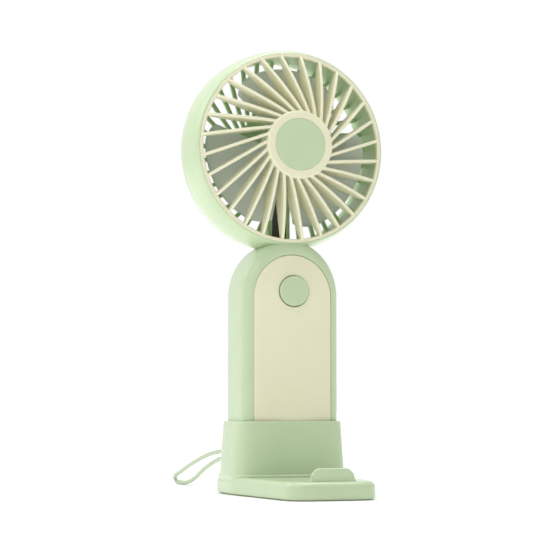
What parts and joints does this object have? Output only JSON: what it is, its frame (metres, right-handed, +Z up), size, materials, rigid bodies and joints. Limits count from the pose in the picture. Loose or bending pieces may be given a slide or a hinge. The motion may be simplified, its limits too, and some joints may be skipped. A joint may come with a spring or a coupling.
{
  "type": "handheld electric fan",
  "caption": "Battery hand fan with a round vaned head on a flat arched handle, standing in a low phone-stand base, with a push button and a wrist strap.",
  "frame": {"origin": "on the surface that the base stands on, straight below the vertical axis of the handle", "axes": "+Z up along the handle, -Y forward, the way the fan blows and the phone ledge points, +X to the right as seen from the front"},
  "size_m": [0.0944, 0.1859, 0.2075],
  "materials": {
    "green_plastic": "satin moulded pale green plastic",
    "cream_plastic": "satin moulded pale cream plastic",
    "sage_plastic": "satin moulded sage green plastic",
    "grey_plastic": "matt mid grey plastic",
    "dark_plastic": "dark brownish black plastic",
    "white_plastic": "white plastic",
    "grip_rubber": "soft pale green rubber",
    "foam": "open foam",
    "strap": "smooth sage green elastic cord",
    "steel": "plated steel",
    "copper": "enamelled copper winding",
    "board": "green solder mask",
    "cell_wrap": "blue shrink wrap",
    "red_insulation": "red wire insulation",
    "black_insulation": "black wire insulation"
  },
  "bodies": {
    "base": {"base_stand": "green_plastic", "base_cover": "green_plastic", "base_screw_1": "steel", "base_screw_2": "steel", "base_screw_3": "steel", "base_screw_4": "steel", "grip_pad_rear": "grip_rubber", "grip_pad_front": "grip_rubber"},
    "fan_body": {"body_shell": "green_plastic", "rear_grille": "green_plastic", "front_grille": "cream_plastic", "grille_badge": "sage_plastic", "front_panel": "cream_plastic", "lead_cover": "dark_plastic", "motor_can": "steel", "motor_end_cap": "dark_plastic", "motor_magnet_ring": "dark_plastic", "circuit_board": "board", "board_screw_1": "steel", "board_screw_2": "steel", "tactile_switch": "dark_plastic", "charge_board": "board", "usb_port": "steel", "battery_cell": "cell_wrap", "battery_foam_pad": "foam", "battery_tab_top": "steel", "battery_tab_bottom": "steel", "motor_lead_red": "red_insulation", "motor_lead_black": "black_insulation", "battery_lead_red": "red_insulation", "battery_lead_black": "black_insulation", "charge_lead_red": "red_insulation", "lanyard_pin": "steel", "lanyard": "strap"},
    "button": {"power_button": "sage_plastic", "switch_plunger": "white_plastic"},
    "rotor": {"impeller": "grey_plastic", "motor_shaft": "steel", "motor_armature": "copper"}
  },
  "joints": [
    {"name": "fan_lift", "type": "slide", "parent": "base", "child": "fan_body", "axis": [0, 0, 1], "range_m": [0, 0.035]},
    {"name": "impeller_spin", "type": "hinge", "parent": "fan_body", "child": "rotor", "pos_m": [0, 0, 0.1602], "axis": [0, 1, 0], "continuous": true},
    {"name": "button_press", "type": "slide", "parent": "fan_body", "child": "button", "axis": [0, 1, 0], "range_m": [0, 0.0005], "stiffness_N_per_m": 800, "springref_m": -0.001}
  ]
}
